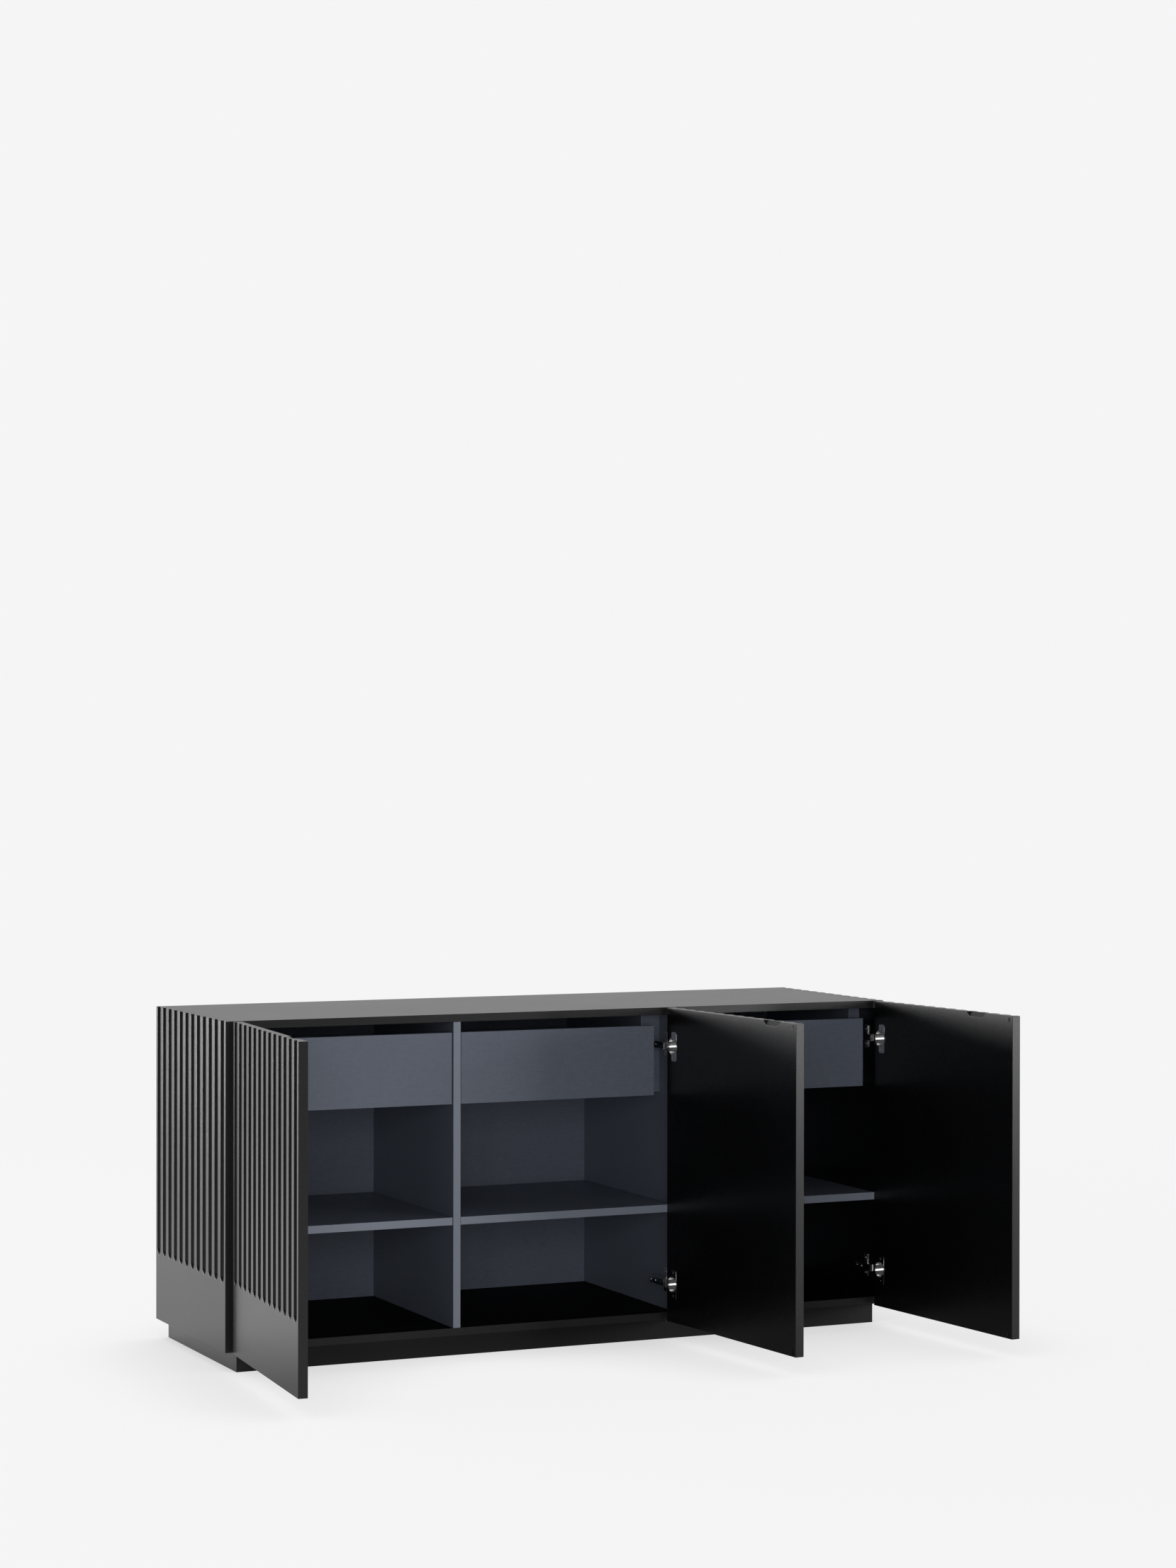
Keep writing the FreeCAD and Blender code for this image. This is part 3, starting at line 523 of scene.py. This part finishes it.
def fluted_panel(length, thickness, bottom, top, flutes):
    """A closed board with ball-ended flutes that run out through its top edge.

    Its points are (along, depth from the fluted face, height).
    """
    bm = bmesh.new()
    ball_height = bottom + FLUTE_END_HEIGHT + FLUTE_WIDTH / 2
    margin = (length - (flutes - 1) * FLUTE_PITCH) / 2
    levels = []
    for i in range(flutes):
        levels = flute_cell(bm, margin + i * FLUTE_PITCH, ball_height, bottom, top)
    inner_margin = margin - FLUTE_PITCH / 2
    for ends in ((0.0, inner_margin), (length - inner_margin, length)):
        grid(bm, [[(u, 0.0, z) for u in ends] for z in levels])
    bmesh.ops.remove_doubles(bm, verts=bm.verts, dist=MERGE)
    corners = {(u, z): bm.verts.new((u, thickness, z)) for u in (0.0, length) for z in (bottom, top)}

    def edge_face(axis, value, ends):
        """The narrow face through the front points that have a value on an axis."""
        found = [v for v in bm.verts if v not in corners.values() and abs(v.co[axis] - value) < MERGE]
        found.sort(key=lambda v: v.co[2 - axis])
        bm.faces.new(found + [corners[c] for c in ends])

    edge_face(2, top, ((length, top), (0.0, top)))
    edge_face(2, bottom, ((length, bottom), (0.0, bottom)))
    edge_face(0, 0.0, ((0.0, top), (0.0, bottom)))
    edge_face(0, length, ((length, top), (length, bottom)))
    bm.faces.new([corners[c] for c in ((0.0, bottom), (length, bottom), (length, top), (0.0, top))])
    return bm


def round_edges(bm):
    """Round a fluted panel's sharp edges."""
    bmesh.ops.recalc_face_normals(bm, faces=bm.faces)
    edges = [e for e in bm.edges if len(e.link_faces) == 2 and e.calc_face_angle(0.0) > PANEL_ROUND_FROM]
    bmesh.ops.bevel(bm, geom=edges, offset=PANEL_EDGE, offset_type="OFFSET", segments=EDGE_SEGMENTS,
                    profile=ROUND_PROFILE, affect="EDGES", clamp_overlap=False)


def rebate_cutter(side_low, side_high):
    """The rebate for the back panel, in a side panel's own frame (along, depth, height)."""
    back_low, back_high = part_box("back_panel")
    inner = min(abs(side_low.x), abs(side_high.x))
    thickness = side_high.x - side_low.x
    low = Vector((back_low.y - side_low.y, thickness - (back_high.x - inner), back_low.z))
    high = Vector((side_high.y - side_low.y, thickness, back_high.z))
    high += Vector((REBATE_OVERCUT, REBATE_OVERCUT, 0))
    bm = bmesh.new()
    place = Matrix.Translation((low + high) / 2) @ Matrix.Diagonal((*(high - low), 1))
    bmesh.ops.create_cube(bm, size=1, matrix=place)
    return bm


def side_panels():
    for name, outward in (("left_side_panel", -1), ("right_side_panel", 1)):
        low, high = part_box(name)
        bm = fluted_panel(high.y - low.y, high.x - low.x, low.z, high.z, SIDE_FLUTES)
        bm = subtract(bm, rebate_cutter(low, high))
        round_edges(bm)
        outer = low.x if outward < 0 else high.x
        place = Matrix(((0, -outward, 0, outer), (1, 0, 0, low.y), (0, 0, 1, 0), (0, 0, 0, 1)))
        bmesh.ops.transform(bm, matrix=place, verts=bm.verts)
        finish_piece(bm, f"{name}_fluted", "cabinet", "black_lacquer", (name,))


# ================================ doors ===========================================================
def door_closed(bay):
    """Matrix that carries a door's pieces from the rest pose to the closed pose."""
    joint = JOINTS[f"{bay}_door_hinge"]
    centre = Matrix.Translation(Vector(joint["pos_m"]))
    turn = Matrix.Rotation(math.radians(joint["range_deg"][0]), 4, Vector(joint["axis"]))
    return centre @ turn @ centre.inverted()


def moved_box(node, matrix):
    """The corners of the box round a CAD node after a move."""
    points = [matrix @ v.co for v in NODES[node].data.vertices]
    low = Vector(min(p[i] for p in points) for i in range(3))
    high = Vector(max(p[i] for p in points) for i in range(3))
    return low, high


def notch_cutter(centre, inner, top):
    """The finger notch's wedge, grown past the two faces it opens through so that it cuts clean."""
    bm = bmesh.new()
    for side in (-1, 1):
        lip = Vector((centre + side * NOTCH_TOP_WIDTH / 2, inner, top))
        low = Vector((centre + side * NOTCH_LOW_WIDTH / 2, inner, top - NOTCH_HEIGHT))
        deep = Vector((centre + side * NOTCH_BACK_WIDTH / 2, inner - NOTCH_DEPTH, top))
        outside = 2 * lip - (low + deep) / 2
        below_low = low + (low - deep) / 2
        past_deep = deep + (deep - low) / 2
        for point in (outside, below_low, past_deep):
            bm.verts.new(point)
    bmesh.ops.convex_hull(bm, input=bm.verts)
    return bm


def cup_bores(inner):
    """Blind bores for a door's two hinge cups."""
    bm = bmesh.new()
    for height in HINGE_HEIGHTS:
        place = Matrix.Translation((CUP_CENTRE_IN, inner, height)) @ Matrix.Rotation(math.pi / 2, 4, "X")
        bmesh.ops.create_cone(bm, cap_ends=True, segments=CUP_SEGMENTS, radius1=CUP_RADIUS,
                              radius2=CUP_RADIUS, depth=2 * CUP_DEPTH, matrix=place)
    return bm


def door_panels():
    """Fluted doors, built closed and measured from the hinge edge, then turned to the rest pose."""
    for bay in BAYS:
        node = f"{bay}_door_panel"
        closed = door_closed(bay)
        low, high = moved_box(node, closed)
        length = high.x - low.x
        thickness = high.y - low.y
        bm = fluted_panel(length, thickness, low.z, high.z, DOOR_FLUTES)
        bm = subtract(bm, notch_cutter(length - NOTCH_FROM_FREE_EDGE[bay], thickness, high.z))
        round_edges(bm)
        bm = subtract(bm, cup_bores(thickness))
        along, start = (1, low.x) if bay == "left" else (-1, high.x)
        place = Matrix(((along, 0, 0, start), (0, 1, 0, low.y), (0, 0, 1, 0), (0, 0, 0, 1)))
        bmesh.ops.transform(bm, matrix=closed.inverted() @ place, verts=bm.verts)
        finish_piece(bm, f"{bay}_door_fluted", f"{bay}_door", "black_lacquer", (node,))


# ================================ hinge screws ====================================================
def cross_arm(width, length, depth, top, turn):
    """One tapered arm of a cross recess."""
    bm = bmesh.new()
    for height, share in ((top + depth / 2, CROSS_MOUTH_SHARE), (top - depth, CROSS_FLOOR_SHARE)):
        for side in (-1, 1):
            for end in (-1, 1):
                bm.verts.new((end * length * share / 2, side * width * share / 2, height))
    bmesh.ops.convex_hull(bm, input=bm.verts)
    bmesh.ops.rotate(bm, cent=(0, 0, 0), matrix=Matrix.Rotation(turn, 3, "Z"), verts=bm.verts)
    return bm


def screw_mesh(name, profile, cross):
    """A turned screw with a cross recess; its axis is Z and its seat is at the origin."""
    bm = bmesh.new()
    turned = [bm.verts.new((r * MM, 0, z * MM)) for r, z in profile]
    edges = [bm.edges.new(pair) for pair in zip(turned, turned[1:])]
    bmesh.ops.spin(bm, geom=turned + edges, cent=(0, 0, 0), axis=(0, 0, 1), angle=2 * math.pi,
                   steps=SCREW_STEPS)
    bmesh.ops.remove_doubles(bm, verts=bm.verts, dist=MERGE)
    width, length, depth = (size * MM for size in cross)
    top = profile[-1][1] * MM
    for turn in (CROSS_TURN, CROSS_TURN + math.pi / 2):
        bm = subtract(bm, cross_arm(width, length, depth, top, turn))
    mesh = bpy.data.meshes.new(name)
    bm.to_mesh(mesh)
    bm.free()
    return mesh


def facing(place, axis):
    """Matrix that stands a screw at a place with its head toward an axis."""
    return Matrix.Translation(place) @ Vector(axis).to_track_quat("Z", "Y").to_matrix().to_4x4()


def stand(bm, mesh, places):
    """Add a copy of a mesh to a bmesh at each place."""
    for place in places:
        before = len(bm.verts)
        bm.from_mesh(mesh)
        bm.verts.ensure_lookup_table()
        bmesh.ops.transform(bm, matrix=place, verts=bm.verts[before:])


def hinge_edge(bay):
    """The door's hinge edge when shut, which way the door runs from it, and its inner face."""
    low, high = moved_box(f"{bay}_door_panel", door_closed(bay))
    return (low.x, 1, high.y) if bay == "left" else (high.x, -1, high.y)


def screw_places(bay, wall):
    """Where a door's screws stand: in the cups' flanges, on the plates and in the arms' wells."""
    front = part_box("left_side_panel")[0].y
    edge, inward, inner = hinge_edge(bay)
    back_to_rest = door_closed(bay).inverted()
    in_flanges, on_plates, in_wells = [], [], []
    for height in HINGE_HEIGHTS:
        for side in (-1, 1):
            line = (edge + inward * CUP_SCREW_LINE_IN, inner + FLANGE_THICKNESS,
                    height + side * CUP_SCREW_HALF_SPACING)
            in_flanges.append(back_to_rest @ facing(line, (0, 1, 0)))
            seat = (wall + inward * PLATE_SEAT, front + PLATE_SCREW_BEHIND_FRONT,
                    height + side * PLATE_SCREW_HALF_SPACING)
            on_plates.append(facing(seat, (inward, 0, 0)))
        for behind in ARM_WELLS_BEHIND_FRONT:
            bottom = (edge + inward * (ARM_FACE_IN - ARM_WELL_DEPTH), front + behind, height)
            in_wells.append(facing(bottom, (inward, 0, 0)))
    return in_flanges, on_plates, in_wells


def hinge_screws():
    """The cup screws of each door, and in one piece the plate screws and the arms' adjusting screws."""
    cup_screw = screw_mesh("cup_screw", CUP_SCREW, CUP_SCREW_CROSS)
    plate_screw = screw_mesh("plate_screw", PLATE_SCREW, PLATE_SCREW_CROSS)
    well_screw = screw_mesh("well_screw", WELL_SCREW, WELL_SCREW_CROSS)
    walls = {"left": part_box("left_side_panel")[1].x, "middle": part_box("right_partition")[0].x,
             "right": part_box("right_side_panel")[0].x}
    all_plates, all_wells = [], []
    for bay in BAYS:
        in_flanges, on_plates, in_wells = screw_places(bay, walls[bay])
        all_plates += on_plates
        all_wells += in_wells
        bm = bmesh.new()
        stand(bm, cup_screw, in_flanges)
        finish_piece(bm, f"{bay}_cup_screws", f"{bay}_door", "nickel_steel",
                     (f"{bay}_door_hinge_cup_screws",))
    bm = bmesh.new()
    stand(bm, plate_screw, all_plates)
    stand(bm, well_screw, all_wells)
    finish_piece(bm, "hinge_screws", "cabinet", "nickel_steel", ("hinge_plate_screws",))


# ================================ CAD nodes that stay =============================================
def smoothing():
    """A node group that smooths every face and keeps the edges over an angle sharp."""
    group = bpy.data.node_groups.new("smooth_by_angle", "GeometryNodeTree")
    for way in ("INPUT", "OUTPUT"):
        group.interface.new_socket("Geometry", in_out=way, socket_type="NodeSocketGeometry")
    start = new_node(group, "NodeGroupInput")
    end = new_node(group, "NodeGroupOutput")
    faces = new_node(group, "GeometryNodeSetShadeSmooth")
    edges = new_node(group, "GeometryNodeSetShadeSmooth", domain="EDGE")
    blunt = new_node(group, "FunctionNodeCompare", operation="LESS_THAN")
    blunt.inputs["B"].default_value = CAD_SHARP_FROM
    angle = new_node(group, "GeometryNodeInputMeshEdgeAngle")
    group.links.new(angle.outputs["Unsigned Angle"], blunt.inputs["A"])
    group.links.new(start.outputs[0], faces.inputs["Geometry"])
    group.links.new(faces.outputs[0], edges.inputs["Geometry"])
    group.links.new(blunt.outputs["Result"], edges.inputs["Shade Smooth"])
    group.links.new(edges.outputs[0], end.inputs[0])
    return group


def dress(node, smooth_by_angle):
    """Give a CAD node its slot's material and small rounded edges."""
    piece = NODES[node]
    radius = HARDWARE_EDGE if SLOT_OF[node] in HARDWARE_SLOTS else BOARD_EDGE
    piece.data.materials.clear()
    piece.data.materials.append(MATERIALS[SLOT_OF[node]])
    modifiers = (
        ("WELD", {"merge_threshold": CAD_WELD}),
        ("DECIMATE", {"decimate_type": "DISSOLVE", "angle_limit": CAD_FLAT_WITHIN}),
        ("NODES", {"node_group": smooth_by_angle}),
        ("BEVEL", {"width": radius, "segments": EDGE_SEGMENTS, "limit_method": "ANGLE",
                   "angle_limit": CAD_ROUND_FROM, "harden_normals": True, "use_clamp_overlap": False}),
    )
    for kind, values in modifiers:
        modifier = piece.modifiers.new(kind.lower(), kind)
        for key, value in values.items():
            setattr(modifier, key, value)


def cad_nodes():
    smooth_by_angle = smoothing()
    for node in sorted(NODES):
        if not NODES[node].hide_render:
            dress(node, smooth_by_angle)


# ================================ stage, light, camera ============================================
def studio_world():
    """A pale backdrop for the camera; for light, bright behind the part and dim in front of it."""
    world = bpy.data.worlds.new("studio")
    world.use_nodes = True
    tree = world.node_tree
    background = tree.nodes["Background"]
    background.inputs["Color"].default_value = (1.0, 1.0, 1.0, 1.0)
    direction = new_node(tree, "ShaderNodeSeparateXYZ")
    tree.links.new(new_node(tree, "ShaderNodeTexCoord").outputs["Generated"], direction.inputs[0])
    depth = new_node(tree, "ShaderNodeMapRange", interpolation_type="SMOOTHSTEP")
    for key, value in (("From Min", WORLD_FRONT_AT), ("From Max", WORLD_BACK_AT),
                       ("To Min", WORLD_FRONT), ("To Max", WORLD_BACK)):
        depth.inputs[key].default_value = value
    tree.links.new(direction.outputs["Y"], depth.inputs["Value"])
    pick = new_node(tree, "ShaderNodeMix")
    tree.links.new(new_node(tree, "ShaderNodeLightPath").outputs["Is Camera Ray"], pick.inputs["Factor"])
    tree.links.new(depth.outputs["Result"], pick.inputs[MIX_FLOATS[0]])
    pick.inputs[MIX_FLOATS[1]].default_value = BACKGROUND
    tree.links.new(pick.outputs[MIX_FLOAT_RESULT], background.inputs["Strength"])
    bpy.context.scene.world = world


def softbox(name, place, target, size, power):
    data = bpy.data.lights.new(name, "AREA")
    data.shape = "RECTANGLE"
    data.size, data.size_y = size
    data.energy = power
    light = bpy.data.objects.new(name, data)
    bpy.context.scene.collection.objects.link(light)
    light.location = place
    light.rotation_euler = (Vector(target) - Vector(place)).to_track_quat("-Z", "Y").to_euler()
    light.visible_camera = False


def blended(made, factor, first, second):
    """A shader that goes from a first to a second shader with a factor."""
    mix = new_node(made.tree, "ShaderNodeMixShader")
    for source, socket in zip((factor, first, second), mix.inputs):
        made.link(source, socket)
    return mix.outputs[0]


def floor_material(centre):
    """Pale floor that keeps soft shadows near the part and fades into the backdrop far from it."""
    made = Material("floor", Roughness=0.9, Specular_IOR_Level=0.0)
    tones = ((FLOOR_TONE - FLOOR_TONE_CHANGE,) * 3, (FLOOR_TONE + FLOOR_TONE_CHANGE,) * 3)
    made.set(Base_Color=made.ramp(made.noise(3.0), tones))
    openness = new_node(made.tree, "ShaderNodeAmbientOcclusion", samples=CONTACT_SAMPLES)
    openness.inputs["Distance"].default_value = CONTACT_REACH
    glow = new_node(made.tree, "ShaderNodeEmission")
    strength = made.level(openness.outputs["AO"], FLOOR_DARK, FLOOR_LIGHT, *CONTACT_RANGE)
    made.link(strength, glow.inputs["Strength"])
    ray = new_node(made.tree, "ShaderNodeLightPath").outputs
    behind = made.level(made.position()["Y"], 0.0, REFLECTED_GLOW, *REFLECTED_RANGE)
    seen = made.math("MULTIPLY", ray["Is Camera Ray"], FLOOR_GLOW)
    mirrored = made.math("MULTIPLY", ray["Is Glossy Ray"], behind)
    glowing = made.math("MAXIMUM", seen, mirrored)
    lit = blended(made, glowing, made.shader.outputs[0], glow.outputs[0])
    distance = new_node(made.tree, "ShaderNodeVectorMath", operation="DISTANCE")
    distance.inputs[1].default_value = centre
    made.link(made.coordinates, distance.inputs[0])
    fade = made.level(distance.outputs["Value"], 0.0, 1.0, *FLOOR_FADE)
    clear = new_node(made.tree, "ShaderNodeBsdfTransparent")
    faded = blended(made, fade, lit, clear.outputs[0])
    made.link(faded, made.tree.nodes["Material Output"].inputs["Surface"])
    return made.data


def stage_and_light():
    bpy.context.scene.view_settings.view_transform = "Standard"
    studio_world()
    centre = (cad_box[0] + cad_box[1]) / 2
    centre.z = 0.0
    bm = bmesh.new()
    bmesh.ops.create_circle(bm, cap_ends=True, segments=FLOOR_SEGMENTS, radius=FLOOR_RADIUS,
                            matrix=Matrix.Translation(centre))
    floor = as_object(bm, "floor")
    floor.data.materials.append(floor_material(centre))
    for name, place, target, size, power in SOFTBOXES:
        softbox(name, place, target, size, power)


def camera():
    data = bpy.data.cameras.new("camera")
    data.lens = CAMERA_LENS
    data.clip_end = CAMERA_CLIP_END
    made = bpy.data.objects.new("camera", data)
    bpy.context.scene.collection.objects.link(made)
    made.location = CAMERA_PLACE
    turn = (Matrix.Rotation(CAMERA_HEADING, 4, "Z") @ Matrix.Rotation(CAMERA_TILT, 4, "X")
            @ Matrix.Rotation(CAMERA_ROLL, 4, "Z"))
    made.rotation_euler = turn.to_euler()
    bpy.context.scene.camera = made


side_panels()
door_panels()
hinge_screws()
cad_nodes()
stage_and_light()
camera()
